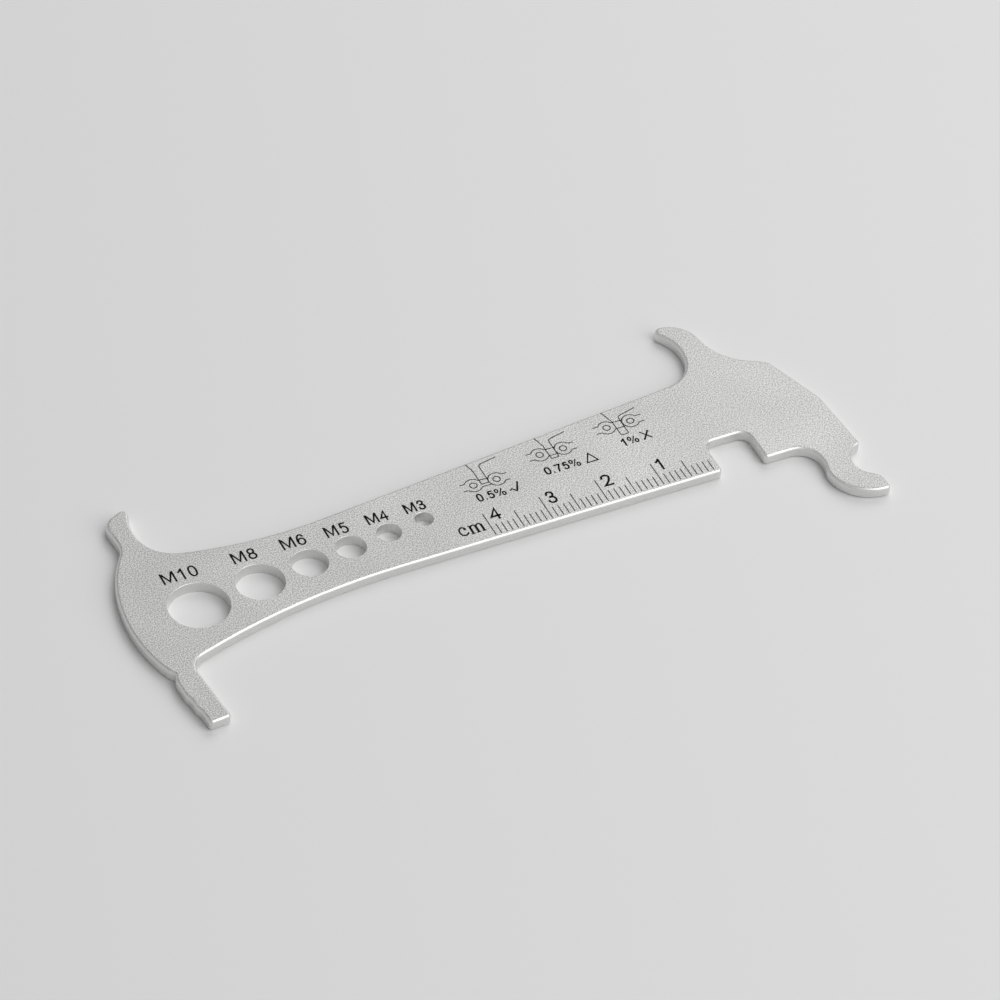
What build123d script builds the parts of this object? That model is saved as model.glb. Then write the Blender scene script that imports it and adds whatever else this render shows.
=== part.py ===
from build123d import *
import math
import os

# Bicycle chain wear gauge: one flat stainless plate.
# All sizes are in millimetres. The outline is drawn from the ruler zero, which is the left wall
# of the square notch, with y = 0 on the straight lower edge that carries the ruler.

# What the gauge measures
pitch = 12.7                # distance from one chain roller to the next
links = 10                  # pitches between the two rollers that the gauge touches
roller = 7.75               # roller diameter
wear_limits = (0.010, 0.0075, 0.005)   # one tooth face for each limit, from the root to the tip

# Plate
thickness = 2.0
top_round = 0.5             # tumbled edge of the marked face
under_break = 0.3           # edge break of the under face
hole_break = 0.04           # edge break of the holes, which stay crisp
corner = 0.6                # smallest corner of the outline

# Body, between the straight lower edge and the sloping top edge
body_height = 21.33         # at the ruler zero
top_slope = math.radians(5.6)          # the top edge climbs to the right
arch_slope = math.radians(17.2)        # the lower edge bends down by this towards the tooth
arch_radius = 120.0
arch_drop = 6.46            # depth of the tooth root below the lower edge

# Square notch in the lower edge
notch_left = 0.3
notch_width = 7.8
notch_depth = 7.0
notch_corner = 1.9

# Seat that hooks against the fixed roller, an arc about that roller's centre
seat_x = 24.65
seat_y = -6.75
seat_radius = roller / 2
seat_start = 109            # degrees, at the shoulder
seat_end = 233              # degrees, at the lip

# Nose that drops between the fixed roller and the next one
nose_gap = 0.05             # clearance to the next roller
nose_neck = 3.8             # radius where its back wall leaves the lower edge
nose_waist = 0.5            # step of the back wall above the rollers
waist_ends = ((1.65, 2.0), (-0.15, 1.0))   # height above the roller's centre, and radius, of each
nose_depth = 7.35           # below the centre of the fixed roller
nose_belly = 7.0            # radius of its round underside
nose_lip = 0.9              # from the roller's centre back to the lip
lip_radius = 2.2            # where the seat's round wall turns down to the lip
shoulder = 0.73             # from the roller's centre back to the shoulder

# Measuring tooth
tooth_width = 3.76          # at the tip
tooth_lean = math.radians(5.4)
tooth_tip = -19.62          # height of the inner corner of the tip
tooth_root = 3.2            # radius
face_levels = ((10.12, 6.72), (5.62, 3.72), (2.52, None))   # ends of each face, above the tip
face_corner = 0.8
relief_level = 11.62        # small relief between the tooth and the rounded end, above the tip
relief_depth = 0.55         # into the tooth, from the face of the last limit
relief_radius = 0.7
relief_shoulder = (-0.75, 0.9, 0.6)    # corner above the relief, as (x, y, radius) from it

# Screw gauge holes, on a line parallel to the top edge
screw_sizes = (3, 4, 5, 6, 8, 10)
screw_steps = (6.5, 7.0, 7.5, 9.0, 11.0)
screw_clearance = 0.1       # of each hole round its screw
screw_line_rise = 0.14      # of the smallest hole, above the middle of the body
screw_line_run = 49.425     # from the far roller's side to the smallest hole

# Side of the far roller of an unworn chain, from which the left end is drawn
far = seat_x - (links * pitch - roller / 2)
valley_run = 22.555         # from there to the left end of the straight top edge
valley_radius = 72.0

# Free corners, as (x, y, radius). Those on the right are measured from the fixed roller's centre
# line and the body height, and those on the left from the far roller's side and the height of the
# top edge's left end.
right_side_shape = ((-1.63, 9.48, 6.0), (-5.51, -0.72, 3.0))
right_horn_shape = ((-12.47, 2.66, 10.0), (-14.12, 12.97, 5.2), (-20.75, 14.09, 1.1),
                    (-17.22, 8.76, 7.8))
right_horn_foot = (-18.98, 6.2)
left_horn_shape = ((6.155, 3.784, 6.8), (5.345, 11.434, 9.5), (7.495, 16.324, 0.95),
                   (1.795, 13.454, 2.8), (2.295, 7.104, 4.0))
left_end_top = (-2.255, 24.0)          # x and radius, at the height of the valley
left_end_low = (-3.481, 7.97, 28.5)    # from the relief


def top_edge(x):
    """Height of the sloping top edge at x."""
    return body_height + math.tan(top_slope) * x


def face_x(wear, y):
    """Place of a tooth face at height y. The face is part of a circle about the fixed roller,
    and it touches the far roller of a chain that has reached this wear."""
    reach = links * pitch * (1 + wear) - roller / 2
    return seat_x - math.sqrt(reach ** 2 - (y - seat_y) ** 2)


def on_circle(angle):
    """Point of the seat's circle at an angle in degrees."""
    turn = math.radians(angle)
    return (seat_x + seat_radius * math.cos(turn), seat_y + seat_radius * math.sin(turn))


def on_tangent(angle, x):
    """Height, at x, of the line that touches the seat's circle at an angle in degrees."""
    touch_x, touch_y = on_circle(angle)
    return touch_y - (x - touch_x) / math.tan(math.radians(angle))


def placed(shape, x, y):
    """The corners of a shape, moved to x and y."""
    return [(x + dx, y + dy, radius) for dx, dy, radius in shape]


def rounded_outline(corners):
    """Closed outline of lines and tangent arcs from corners given as (x, y, radius). A corner's
    radius is limited by the straight sides that it has to fit between."""
    points = [Vector(x, y) for x, y, radius in corners]
    count = len(points)
    halves = []
    reaches = []
    for i in range(count):
        before = points[i - 1] - points[i]
        after = points[(i + 1) % count] - points[i]
        halves.append(math.radians(before.get_angle(after)) / 2)
        reaches.append(corners[i][2] / math.tan(halves[i]))
    room = []
    for i in range(count):
        side = (points[(i + 1) % count] - points[i]).length
        room.append(min(1.0, 0.999 * side / (reaches[i] + reaches[(i + 1) % count])))
    arcs = []
    for i in range(count):
        reach = reaches[i] * min(room[i - 1], room[i])
        radius = reach * math.tan(halves[i])
        before = (points[i - 1] - points[i]).normalized()
        after = (points[(i + 1) % count] - points[i]).normalized()
        middle = (before + after).normalized() * (radius / math.sin(halves[i]) - radius)
        arcs.append((points[i] + before * reach, points[i] + middle, points[i] + after * reach))
    edges = []
    for i, (start, middle, end) in enumerate(arcs):
        edges.append(Edge.make_three_point_arc(start, middle, end))
        edges.append(Edge.make_line(end, arcs[(i + 1) % count][0]))
    return Wire(edges)


def lower_edge():
    """From the tooth root along the arch and the ruler to the right wall of the notch."""
    root_x = tip_x - math.tan(tooth_lean) * (-arch_drop - tooth_tip)
    notch_right = notch_left + notch_width
    return [
        (root_x, -arch_drop, tooth_root),
        (root_x + arch_drop / math.tan(arch_slope), 0, arch_radius),
        (notch_left, 0, corner),
        (notch_left, notch_depth, notch_corner),
        (notch_right, notch_depth, notch_corner),
        (notch_right, 0, corner),
    ]


def nose():
    """Round the nose to the lip, the seat and the shoulder."""
    back = seat_x - seat_radius - (pitch - roller) + nose_gap
    under = seat_y - nose_depth
    lip_x = seat_x - nose_lip
    shoulder_x = seat_x - shoulder
    half = math.radians(seat_end - seat_start) / 2
    middle = math.radians(seat_end + seat_start) / 2
    reach = seat_radius / math.cos(half)
    (waist_top, top_radius), (waist_low, low_radius) = waist_ends
    return [
        (back + nose_waist, 0, nose_neck),
        (back + nose_waist, seat_y + waist_top, top_radius),
        (back, seat_y + waist_low, low_radius),
        (back, under, nose_belly),
        (lip_x, under, corner),
        (lip_x, on_tangent(seat_end, lip_x), lip_radius),
        (seat_x + reach * math.cos(middle), seat_y + reach * math.sin(middle), seat_radius),
        (shoulder_x, on_tangent(seat_start, shoulder_x), corner),
    ]


def right_side():
    """Up the right side and round the right horn of the chain hook."""
    (low_x, low_y, low_radius), high = right_side_shape
    foot_x = seat_x + right_horn_foot[0]
    return (
        [(seat_x + low_x, low_y, low_radius)]
        + placed([high], seat_x, body_height)
        + placed(right_horn_shape, seat_x, body_height)
        + [(foot_x, top_edge(foot_x), right_horn_foot[1])]
    )


def left_side():
    """Along the top edge, round the left horn of the chain hook and the big rounded end."""
    valley_x = far + valley_run
    valley_y = top_edge(valley_x)
    relief_y = tooth_tip + relief_level
    relief_x = face_x(wear_limits[0], relief_y) + relief_depth
    return (
        [(valley_x, valley_y, valley_radius)]
        + placed(left_horn_shape, far, valley_y)
        + [(far + left_end_top[0], valley_y, left_end_top[1])]
        + placed([left_end_low, relief_shoulder], relief_x, relief_y)
        + [(relief_x, relief_y, relief_radius)]
    )


def tooth():
    """Down the stepped faces of the measuring tooth, each on its own circle about the fixed
    roller, and across its tip."""
    corners = []
    for wear, (upper, lower) in zip(wear_limits, face_levels):
        upper_y = tooth_tip + upper
        corners.append((face_x(wear, upper_y), upper_y, face_corner))
        if lower is not None:
            lower_y = tooth_tip + lower
            corners.append((face_x(wear, lower_y), lower_y, face_corner))
    outer_y = tooth_tip - math.tan(tooth_lean) * tooth_width
    corners.append((face_x(wear_limits[-1], outer_y), outer_y, corner))
    corners.append((tip_x, tooth_tip, corner))
    return corners


tip_x = face_x(wear_limits[-1], tooth_tip) + tooth_width
outline = rounded_outline(lower_edge() + nose() + right_side() + left_side() + tooth())
plate = extrude(Face(outline), thickness, dir=(0, 0, 1))

# Screw gauge holes, from the smallest to the largest
hole_x = far + screw_line_run
hole_y = top_edge(hole_x) / 2 + screw_line_rise
for size, step in zip(screw_sizes, (0.0,) + screw_steps):
    hole_x -= step * math.cos(top_slope)
    hole_y -= step * math.sin(top_slope)
    drill = Cylinder((size + screw_clearance) / 2, 3 * thickness)
    plate -= Pos(hole_x, hole_y, thickness / 2) * drill

# Edges: rounded on the marked face, broken on the under face and at the holes
upper = plate.faces().sort_by(Axis.Z)[-1]
plate = fillet(upper.outer_wire().edges(), top_round)
lower = plate.faces().sort_by(Axis.Z)[0]
plate = chamfer(lower.outer_wire().edges(), under_break)
hole_edges = plate.edges().filter_by(GeomType.CIRCLE)
hole_edges = hole_edges.filter_by(lambda e: e.is_closed)
plate = chamfer(hole_edges, hole_break)

# Stand the part on z = 0 with its bounding box centred on the origin
box = plate.bounding_box()
plate = Pos(-box.center().X, -box.center().Y, -box.min.Z) * plate

os.makedirs("parts", exist_ok=True)
export_step(plate, "parts/gauge_plate.step")
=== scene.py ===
"""Looks of the chain wear gauge: its steel, its burnt-in marks, the light and the camera."""
import math

import bpy
from mathutils import Matrix, Vector


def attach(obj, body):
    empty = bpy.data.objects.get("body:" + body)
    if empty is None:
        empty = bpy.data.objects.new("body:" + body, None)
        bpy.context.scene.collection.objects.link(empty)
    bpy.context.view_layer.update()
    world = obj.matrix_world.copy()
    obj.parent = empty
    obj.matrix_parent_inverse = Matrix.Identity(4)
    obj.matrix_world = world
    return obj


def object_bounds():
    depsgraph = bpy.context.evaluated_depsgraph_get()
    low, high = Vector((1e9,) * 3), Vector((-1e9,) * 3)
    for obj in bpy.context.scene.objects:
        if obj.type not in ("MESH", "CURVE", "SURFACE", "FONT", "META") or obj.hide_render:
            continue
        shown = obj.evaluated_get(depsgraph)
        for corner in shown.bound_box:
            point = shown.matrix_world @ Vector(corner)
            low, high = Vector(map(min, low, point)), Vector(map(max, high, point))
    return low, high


MM = 0.001

# The marks are drawn in millimetres from the ruler zero, 0.3 mm to the left of the square notch,
# with y = 0 on the straight lower edge. This is where the ruler zero lies in the frame.
ZERO = (39.0175, -7.5459)
MARK_LIFT = 0.012           # height of the marks above the marked face

# Widths of the strokes
BOLD = 0.38                 # ruler figures
MEDIUM = 0.33               # sizes of the holes
SMALL = 0.31                # wear limits
THIN = 0.17                 # ruler ticks and line drawings

SAME_POINT = 1e-6           # a line whose ends lie this close is closed
MITRE_LIMIT = 0.45          # keeps the outer point of a sharp bend short

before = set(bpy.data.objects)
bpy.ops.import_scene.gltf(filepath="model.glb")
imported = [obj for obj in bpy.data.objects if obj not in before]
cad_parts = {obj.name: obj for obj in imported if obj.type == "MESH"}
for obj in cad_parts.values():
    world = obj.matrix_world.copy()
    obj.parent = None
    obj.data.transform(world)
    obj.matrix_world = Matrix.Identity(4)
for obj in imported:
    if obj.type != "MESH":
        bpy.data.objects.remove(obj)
cad_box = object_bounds()
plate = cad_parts["gauge_plate"]
mark_height = cad_box[1][2] + MARK_LIFT * MM


# Lines and how they become flat pieces

def smooth(points, steps=6):
    """Points of a rounded line through the given points."""
    points = [Vector(p) for p in points]
    before_first = points[0] + (points[0] - points[1])
    after_last = points[-1] + (points[-1] - points[-2])
    points = [before_first] + points + [after_last]
    result = []
    for a, b, c, d in zip(points, points[1:], points[2:], points[3:]):
        for k in range(steps):
            t = k / steps
            result.append(
                ((2 * b) + (c - a) * t + (2 * a - 5 * b + 4 * c - d) * t * t
                 + (3 * b - a - 3 * c + d) * t ** 3) / 2
            )
    return result + [points[-2]]


def ellipse(x, y, rx, ry, start=0, end=360, steps=28, power=1.0):
    """Points of an ellipse, or of a part of it. A power below 1 makes its corners fuller."""
    result = []
    for k in range(steps + 1):
        turn = math.radians(start + (end - start) * k / steps)
        c, s = math.cos(turn), math.sin(turn)
        result.append(Vector((
            x + rx * math.copysign(abs(c) ** power, c),
            y + ry * math.copysign(abs(s) ** power, s),
        )))
    return result


def is_closed(points):
    """Whether a line ends where it starts."""
    return (points[0] - points[-1]).length < SAME_POINT


def ribbon(points, width):
    """Vertices and faces of a flat line of even width. It is closed when its ends meet."""
    points = [Vector(p) for p in points]
    closed = is_closed(points)
    if closed:
        points.pop()
    count = len(points)
    vertices = []
    for i, point in enumerate(points):
        before = point - points[i - 1] if closed or i > 0 else points[1] - point
        after = points[(i + 1) % count] - point if closed or i + 1 < count else before
        before, after = before.normalized(), after.normalized()
        along = (before + after).normalized()
        across = Vector((-along.y, along.x))
        reach = width / 2 / max(MITRE_LIMIT, along.dot(after))
        vertices += [point + across * reach, point - across * reach]
    faces = []
    for i in range(count if closed else count - 1):
        j = (i + 1) % count
        faces.append((2 * i, 2 * i + 1, 2 * j + 1, 2 * j))
    return vertices, faces


def strokes(name, lines, material):
    """One flat piece made of lines, each given as (points, width), that lies on the marked face."""
    vertices, faces = [], []
    for points, width in lines:
        new_vertices, new_faces = ribbon(points, width)
        first = len(vertices)
        faces += [tuple(first + i for i in face) for face in new_faces]
        vertices += [
            Vector(((v.x + ZERO[0]) * MM, (v.y + ZERO[1]) * MM, mark_height))
            for v in new_vertices
        ]
    mesh = bpy.data.meshes.new(name)
    mesh.from_pydata(vertices, [], faces)
    mesh.validate()
    piece = bpy.data.objects.new(name, mesh)
    bpy.context.scene.collection.objects.link(piece)
    mesh.materials.append(material)
    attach(piece, "root")


# Figures, drawn in a box from 0 to 1 in both directions. The ends of open lines are drawn out by
# half a stroke.
FIGURES = {
    "0": [ellipse(0.5, 0.5, 0.5, 0.5, power=0.85)],
    "1": [[(0.12, 0.78), (0.6, 0.87), (0.95, 1)], [(1, 1), (1, 0)]],
    "2": [smooth([(0.05, 0.76), (0.14, 0.92), (0.5, 1), (0.88, 0.9), (0.95, 0.72), (0.78, 0.47),
                  (0.35, 0.18), (0, 0)]) + [Vector((1, 0))]],
    "3": [smooth([(0.07, 0.81), (0.19, 0.95), (0.47, 1), (0.82, 0.91), (0.88, 0.74), (0.72, 0.58),
                  (0.4, 0.54)]),
          smooth([(0.4, 0.54), (0.8, 0.48), (1, 0.28), (0.85, 0.07), (0.47, 0), (0.16, 0.07),
                  (0.03, 0.22)])],
    "4": [[(0.78, 0), (0.78, 1), (0, 0.29), (1, 0.29)]],
    "5": [[(0.86, 1), (0.2, 1), (0.1, 0.62)],
          smooth([(0.16, 0.57), (0.32, 0.64), (0.55, 0.66), (0.88, 0.54), (1, 0.32), (0.86, 0.09),
                  (0.5, 0), (0.2, 0.05), (0.08, 0.13)])],
    "6": [smooth([(0.92, 0.84), (0.8, 0.96), (0.53, 1), (0.18, 0.86), (0.01, 0.45), (0.1, 0.13),
                  (0.5, 0), (0.87, 0.1), (1, 0.32), (0.87, 0.54), (0.52, 0.63), (0.18, 0.53),
                  (0.05, 0.4)])],
    "7": [[(0, 1), (0.98, 1)], smooth([(0.98, 0.97), (0.58, 0.5), (0.36, 0)])],
    "8": [ellipse(0.5, 0.765, 0.41, 0.235, power=0.95), ellipse(0.5, 0.265, 0.5, 0.265, power=0.95)],
    "M": [[(0, 0), (0, 1)], [(1, 0), (1, 1)], [(0.1, 0.92), (0.5, 0.09), (0.9, 0.92)]],
}


def drawn_out(points, reach):
    """An open line with both ends drawn out. A closed one stays as it is."""
    if is_closed(points):
        return points
    first = points[0] + (points[0] - points[1]).normalized() * reach
    last = points[-1] + (points[-1] - points[-2]).normalized() * reach
    return [first] + points[1:-1] + [last]


def figure(sign, across, up, width):
    """Lines of one figure. Its strokes reach between two places across and two places up."""
    low = Vector((across[0] + width / 2, up[0] + width / 2))
    size = Vector((across[1] - across[0] - width, up[1] - up[0] - width))
    lines = []
    for line in FIGURES[sign]:
        points = [Vector((low.x + p[0] * size.x, low.y + p[1] * size.y)) for p in line]
        lines.append((drawn_out(points, width / 2), width))
    return lines


# Ruler: its length, where its ticks start, and where those at every 10, 5 and 1 mm end
RULER_LENGTH = 40
TICK_FOOT = 0.6
TICK_TOPS = ((10, 5.8), (5, 4.5), (1, 2.9))

# Its figures, with their places across and up
RULER_FIGURES = (
    ("4", (-39.14, -37.3), (3.68, 6.4)),
    ("3", (-28.97, -27.34), (3.58, 6.42)),
    ("2", (-19.07, -17.32), (3.74, 6.43)),
    ("1", (-9.22, -8.22), (3.75, 6.42)),
)

# The unit: the curve of the c and the ball at its end, then the stems of the m with their feet,
# and the bow between two stems and the serif of the first one, both from the stem's place
UNIT_CURVE = ((-44.02, 3.72), (-44.28, 4.08), (-44.65, 4.16), (-45.02, 3.88), (-45.17, 3.2),
              (-45.0, 2.6), (-44.56, 2.34), (-44.1, 2.45), (-43.83, 2.8))
UNIT_CURVE_WIDTH = 0.31
UNIT_BALL = (-44.12, 3.7)
UNIT_BALL_RADIUS = 0.12
UNIT_BALL_WIDTH = 0.24
UNIT_STEMS = (-43.18, -42.22, -41.26)
UNIT_STEM = (2.2, 3.85)
UNIT_STEM_WIDTH = 0.4
UNIT_FOOT = 2.23
UNIT_FOOT_REACH = 0.36      # to each side of the stem
UNIT_FOOT_WIDTH = 0.19
UNIT_BOW = ((0, 3.55), (0.22, 3.9), (0.55, 4.05), (0.83, 3.93), (0.94, 3.55))
UNIT_BOW_WIDTH = 0.28
UNIT_SERIF = ((-0.34, 4.02), (0, 4.07), (0, 3.8))
UNIT_SERIF_WIDTH = 0.2


def ruler_ticks():
    """Millimetre ticks, with longer ones at 5 and 10 mm."""
    lines = []
    for i in range(1, RULER_LENGTH + 1):
        top = next(top for step, top in TICK_TOPS if i % step == 0)
        lines.append(([(-i, TICK_FOOT), (-i, top)], THIN))
    return lines


def ruler_figures():
    lines = []
    for sign, across, up in RULER_FIGURES:
        lines += figure(sign, across, up, BOLD)
    lines.append((smooth(UNIT_CURVE), UNIT_CURVE_WIDTH))
    ball = ellipse(*UNIT_BALL, UNIT_BALL_RADIUS, UNIT_BALL_RADIUS, steps=10)
    lines.append((ball, UNIT_BALL_WIDTH))
    for x in UNIT_STEMS:
        lines.append(([(x, y) for y in UNIT_STEM], UNIT_STEM_WIDTH))
        foot = [(x - UNIT_FOOT_REACH, UNIT_FOOT), (x + UNIT_FOOT_REACH, UNIT_FOOT)]
        lines.append((foot, UNIT_FOOT_WIDTH))
    for x in UNIT_STEMS[:-1]:
        lines.append((smooth([(x + dx, y) for dx, y in UNIT_BOW]), UNIT_BOW_WIDTH))
    lines.append(([(UNIT_STEMS[0] + dx, y) for dx, y in UNIT_SERIF], UNIT_SERIF_WIDTH))
    return lines


# Sizes of the screw gauge holes: the digits, the letter's places across and up, and each digit's
# places across
HOLE_SIZES = (
    ("10", (-93.09, -90.77), (10.63, 13.2), ((-90.2, -89.29), (-88.5, -87.02))),
    ("8", (-81.03, -78.79), (10.59, 13.15), ((-78.35, -76.87),)),
    ("6", (-72.57, -70.32), (10.47, 13.02), ((-69.9, -68.4),)),
    ("5", (-65.0, -62.91), (10.31, 12.82), ((-62.46, -61.08),)),
    ("4", (-57.78, -55.75), (10.47, 12.84), ((-55.5, -54.06),)),
    ("3", (-51.11, -49.16), (10.43, 12.7), ((-48.81, -47.52),)),
)
DIGIT_DROP = (0.02, 0.05)   # of a digit's foot and of its top, below the letter's


def hole_sizes():
    lines = []
    for digits, letter, up, places in HOLE_SIZES:
        lines += figure("M", letter, up, MEDIUM)
        for digit, place in zip(digits, places):
            digit_up = (up[0] - DIGIT_DROP[0], up[1] - DIGIT_DROP[1])
            lines += figure(digit, place, digit_up, MEDIUM)
    return lines


# Wear limits: their figures, with their places across and up
LIMIT_FIGURES = (
    ("0", (-39.3, -38.2), (8.42, 10.3)),
    ("5", (-37.36, -36.25), (8.42, 10.22)),
    ("0", (-26.53, -25.42), (9.88, 11.67)),
    ("7", (-24.62, -23.5), (9.88, 11.65)),
    ("5", (-23.27, -22.2), (9.88, 11.65)),
    ("1", (-12.05, -11.31), (11.17, 12.92)),
)
DECIMAL_POINTS = ((-37.9, 8.62), (-25.18, 10.07))   # left ends
DECIMAL_POINT_LENGTH = 0.26

# Percent signs: the centres of the two rings and the ends of the slash
PERCENT_SIGNS = (
    ((-35.7, 9.73), (-34.65, 8.82), ((-34.68, 10.14), (-35.59, 8.5))),
    ((-21.65, 11.23), (-20.6, 10.32), ((-20.7, 11.6), (-21.5, 10.0))),
    ((-10.48, 12.45), (-9.4, 11.68), ((-9.5, 12.86), (-10.36, 11.27))),
)
PERCENT_RING = (0.26, 0.37)
PERCENT_RING_WIDTH = 0.25
PERCENT_SLASH_WIDTH = 0.21

# Signs for good, soon due and worn: the points and the width of each line
VERDICT_SIGNS = (
    (((-33.55, 8.95), (-33.12, 9.22), (-32.5, 8.5)), 0.26),
    (((-32.52, 8.42), (-31.6, 10.48)), 0.32),
    (((-18.2, 12.0), (-19.18, 10.0), (-17.22, 10.0), (-18.2, 12.0)), 0.24),
    (((-8.23, 13.23), (-6.73, 11.3)), 0.24),
    (((-6.73, 13.23), (-8.23, 11.27)), 0.3),
)


def wear_figures():
    lines = []
    for sign, across, up in LIMIT_FIGURES:
        lines += figure(sign, across, up, SMALL)
    for x, y in DECIMAL_POINTS:
        lines.append(([(x, y), (x + DECIMAL_POINT_LENGTH, y)], SMALL))
    for left, right, slash in PERCENT_SIGNS:
        for ring in (left, right):
            lines.append((ellipse(*ring, *PERCENT_RING, steps=18), PERCENT_RING_WIDTH))
        lines.append((slash, PERCENT_SLASH_WIDTH))
    return lines + list(VERDICT_SIGNS)


# Drawings of the tooth in a link: the two rollers, the tooth's lower left corner, its upper ends
WEAR_DRAWINGS = (
    ((-38.5, 12.32), (-34.4, 12.27), (-37.15, 12.1), (-37.64, 17.23), (-32.3, 17.08)),
    ((-25.53, 14.68), (-21.35, 14.64), (-24.12, 13.15), (-24.73, 18.59), (-19.45, 18.18)),
    ((-12.68, 16.23), (-8.34, 16.27), (-11.2, 13.77), (-12.0, 19.86), (-6.36, 18.9)),
)
ROLLER_RADIUS = 0.6
ROLLER_WIDTH = 0.19
LINK_RADIUS = 1.45          # of its round ends about the rollers
LINK_WAIST = 0.78           # half its height between and beyond the round ends
LINK_SPAN = 2.02            # its length, in distances of its rollers
LINK_STEPS = 60
LINK_END_RADIUS = 1.42      # of the arc that closes the link towards the tooth
LINK_END = (130, 230)       # degrees

# The drawn tooth, from its lower left corner
TOOTH_WIDTH = 1.35
TOOTH_KNEE = (-0.02, 3.35)
TOOTH_BEND = ((TOOTH_WIDTH, 3.65), (1.48, 4.15), (1.9, 4.42))


def link_edge(left, right, side):
    """Upper or lower edge of a link plate, which is round about both rollers."""
    edge = []
    for k in range(LINK_STEPS + 1):
        along = (k / LINK_STEPS - 0.5) * LINK_SPAN + 0.5
        point = left.lerp(right, along)
        near = min(abs(point.x - left.x), abs(point.x - right.x))
        half = max(LINK_WAIST, math.sqrt(max(0, LINK_RADIUS ** 2 - near ** 2)))
        edge.append((point.x, point.y + side * half))
    return edge


def wear_drawings():
    lines = []
    for left, right, corner, left_end, right_end in WEAR_DRAWINGS:
        left, right = Vector(left), Vector(right)
        for side in (1, -1):
            lines.append((link_edge(left, right, side), THIN))
        for roller in (left, right):
            lines.append((ellipse(*roller, ROLLER_RADIUS, ROLLER_RADIUS), ROLLER_WIDTH))
        link_end = ellipse(*right, LINK_END_RADIUS, LINK_END_RADIUS, *LINK_END, steps=12)
        lines.append((link_end, THIN))
        x, y = corner
        lines.append(([left_end, (x + TOOTH_KNEE[0], y + TOOTH_KNEE[1]), corner], THIN))
        foot = (x + TOOTH_WIDTH, y)
        lines.append(([corner, foot], THIN))
        bend = smooth([(x + dx, y + dy) for dx, dy in TOOTH_BEND])
        lines.append(([foot] + bend + [right_end], THIN))
    return lines


# Materials

def set_up(node, settings):
    """Set the sockets and properties of a node by name. A property that brings a socket has to
    come before it."""
    for name, value in settings.items():
        if name in node.inputs:
            node.inputs[name].default_value = value
        else:
            setattr(node, name, value)


def add_node(tree, kind, settings):
    """A new shader node with these settings."""
    node = tree.nodes.new(kind)
    set_up(node, settings)
    return node


def add_ramp(tree, low, low_tone, high, high_tone):
    """Colour ramp from one tone at a low place to another at a high one."""
    node = tree.nodes.new("ShaderNodeValToRGB")
    first, last = node.color_ramp.elements
    first.position, first.color = low, low_tone
    last.position, last.color = high, high_tone
    return node


def new_material(name, settings):
    """A material, its node tree, and its shader with these settings."""
    material = bpy.data.materials.new(name)
    material.use_nodes = True
    tree = material.node_tree
    shader = tree.nodes["Principled BSDF"]
    set_up(shader, settings)
    return material, tree, shader


def steel_material():
    """Tumbled stainless steel: a fine grain on the flats, smoother at the edges, and brighter there
    through a painted sheen in the colour.
    """
    material, tree, shader = new_material("tumbled_steel", {"Metallic": 1.0})
    link = tree.links.new
    place = tree.nodes.new("ShaderNodeTexCoord").outputs["Object"]
    grain = add_node(tree, "ShaderNodeTexNoise", {"Scale": 5000.0, "Detail": 1.0})
    link(place, grain.inputs["Vector"])
    cloud = add_node(tree, "ShaderNodeTexNoise", {"Scale": 60.0, "Detail": 2.0})
    link(place, cloud.inputs["Vector"])

    # How far the surface turns away from level: 0 on the flats, 0.8 on the walls, so that a trace
    # of the grain is left there
    normal = tree.nodes.new("ShaderNodeNewGeometry")
    split = tree.nodes.new("ShaderNodeSeparateXYZ")
    link(normal.outputs["Normal"], split.inputs[0])
    edge = add_node(tree, "ShaderNodeMapRange", {
        "interpolation_type": "SMOOTHSTEP", "From Min": 0.99, "From Max": 0.8, "To Max": 0.8,
    })
    link(split.outputs["Z"], edge.inputs["Value"])

    tone = add_ramp(tree, 0.38, (0.31, 0.31, 0.305, 1), 0.62, (0.63, 0.63, 0.625, 1))
    link(grain.outputs["Fac"], tone.inputs["Fac"])
    shade = add_node(tree, "ShaderNodeMix", {
        "data_type": "RGBA", "blend_type": "MULTIPLY", "Factor": 0.25,
    })
    link(tone.outputs["Color"], shade.inputs["A"])
    link(cloud.outputs["Fac"], shade.inputs["B"])
    # Painted sheen: the walls and rounded edges get a lighter base colour that stands in for the
    # light they catch. Their lower roughness below is the steel's own.
    painted_wall_sheen = add_node(tree, "ShaderNodeMix", {"data_type": "RGBA", "B": (0.83, 0.83, 0.82, 1)})
    link(edge.outputs["Result"], painted_wall_sheen.inputs["Factor"])
    link(shade.outputs["Result"], painted_wall_sheen.inputs["A"])
    link(painted_wall_sheen.outputs["Result"], shader.inputs["Base Color"])

    rough = add_node(tree, "ShaderNodeMapRange", {"To Min": 0.52, "To Max": 0.4})
    link(edge.outputs["Result"], rough.inputs["Value"])
    link(rough.outputs["Result"], shader.inputs["Roughness"])

    bump = add_node(tree, "ShaderNodeBump", {"Strength": 0.35, "Distance": 0.00003})
    link(grain.outputs["Fac"], bump.inputs["Height"])
    link(bump.outputs["Normal"], shader.inputs["Normal"])
    return material


def burnt_material(name, dark, light):
    """Steel that a laser has burnt dark, mottled by the grain under it."""
    material, tree, shader = new_material(name, {"Roughness": 0.7, "Specular IOR Level": 0.05})
    place = tree.nodes.new("ShaderNodeTexCoord").outputs["Object"]
    grain = add_node(tree, "ShaderNodeTexNoise", {"Scale": 3000.0, "Detail": 2.0})
    tree.links.new(place, grain.inputs["Vector"])
    tone = add_ramp(tree, 0.35, (dark, dark, dark, 1), 0.65, (light, light, light, 1))
    tree.links.new(grain.outputs["Fac"], tone.inputs["Fac"])
    tree.links.new(tone.outputs["Color"], shader.inputs["Base Color"])
    return material


plate.data.materials.clear()
plate.data.materials.append(steel_material())

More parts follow.
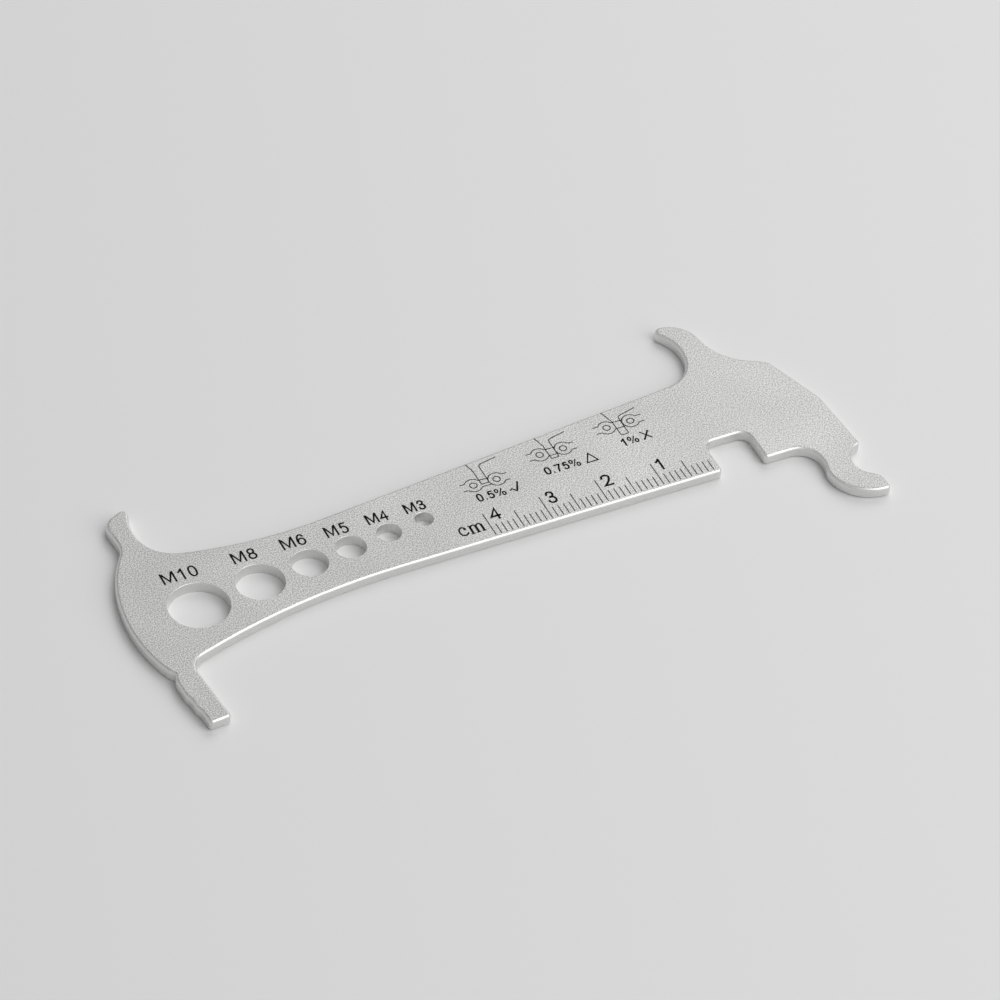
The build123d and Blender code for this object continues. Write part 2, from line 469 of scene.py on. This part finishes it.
dark_burn = burnt_material("dark_burn", 0.005, 0.015)
thin_burn = burnt_material("thin_burn", 0.02, 0.08)
strokes("ruler_ticks", ruler_ticks(), thin_burn)
strokes("ruler_figures", ruler_figures(), dark_burn)
strokes("hole_sizes", hole_sizes(), dark_burn)
strokes("wear_figures", wear_figures(), dark_burn)
strokes("wear_drawings", wear_drawings(), thin_burn)


# Floor, light and camera, in metres

FLOOR_HALF = 3.0
FLOOR_DROP = 0.00002        # keeps the floor clear of the under face

# Softboxes: name, place, width, height and watts
LAMPS = (
    ("key", (0.75, 0.75, 0.95), 1.0, 1.0, 7.2),
    ("front", (0.54, -0.7, 0.85), 1.2, 1.6, 11.0),
)

# The camera, fitted to the photo: its place, its directions to the right and ahead, the lens in
# millimetres on its sensor, and the shift of the picture
CAMERA_PLACE = (-0.30759, -0.592749, 0.634939)
CAMERA_RIGHT = (0.902249, -0.429278, 0.040824)
CAMERA_AHEAD = (0.337245, 0.643466, -0.687181)
CAMERA_LENS = 206.72
CAMERA_SENSOR = 36.0
CAMERA_SHIFT = (-0.0005, 0.0005)


def add_floor():
    half = FLOOR_HALF
    mesh = bpy.data.meshes.new("floor")
    corners = [(-half, -half, 0), (half, -half, 0), (half, half, 0), (-half, half, 0)]
    mesh.from_pydata(corners, [], [(0, 1, 2, 3)])
    floor = bpy.data.objects.new("floor", mesh)
    floor.location.z = -FLOOR_DROP
    bpy.context.scene.collection.objects.link(floor)
    material, _, _ = new_material("pale_floor", {
        "Base Color": (0.85, 0.85, 0.85, 1), "Roughness": 0.6, "Specular IOR Level": 0.2,
    })
    mesh.materials.append(material)


def add_lamp(name, place, width, height, watts):
    """Softbox that faces the middle of the gauge."""
    data = bpy.data.lights.new(name, "AREA")
    data.shape = "RECTANGLE"
    data.size = width
    data.size_y = height
    data.energy = watts
    lamp = bpy.data.objects.new(name, data)
    lamp.location = place
    lamp.rotation_euler = Vector(place).to_track_quat("Z", "Y").to_euler()
    bpy.context.scene.collection.objects.link(lamp)


def add_camera():
    data = bpy.data.cameras.new("camera")
    data.lens = CAMERA_LENS
    data.sensor_width = CAMERA_SENSOR
    data.shift_x, data.shift_y = CAMERA_SHIFT
    data.clip_start = 0.05
    data.clip_end = 20.0
    camera = bpy.data.objects.new("camera", data)
    ahead = Vector(CAMERA_AHEAD).normalized()
    up = Vector(CAMERA_RIGHT).normalized().cross(ahead).normalized()
    right = ahead.cross(up)
    turn = Matrix((right, up, -ahead)).transposed().to_4x4()
    camera.matrix_world = Matrix.Translation(CAMERA_PLACE) @ turn
    bpy.context.scene.collection.objects.link(camera)
    bpy.context.scene.camera = camera


def add_world():
    """Even surroundings, brighter for the camera and in reflections than as light."""
    world = bpy.data.worlds.new("studio")
    world.use_nodes = True
    tree = world.node_tree
    rays = tree.nodes.new("ShaderNodeLightPath")
    shown = add_node(tree, "ShaderNodeMath", {"operation": "MAXIMUM"})
    tree.links.new(rays.outputs["Is Camera Ray"], shown.inputs[0])
    tree.links.new(rays.outputs["Is Glossy Ray"], shown.inputs[1])
    strength = add_node(tree, "ShaderNodeMapRange", {"To Min": 0.22, "To Max": 0.5})
    tree.links.new(shown.outputs[0], strength.inputs["Value"])
    background = tree.nodes["Background"]
    set_up(background, {"Color": (1, 1, 1, 1)})
    tree.links.new(strength.outputs["Result"], background.inputs["Strength"])
    bpy.context.scene.world = world


add_floor()
for lamp in LAMPS:
    add_lamp(*lamp)
add_camera()
add_world()
bpy.context.scene.view_settings.view_transform = "Standard"
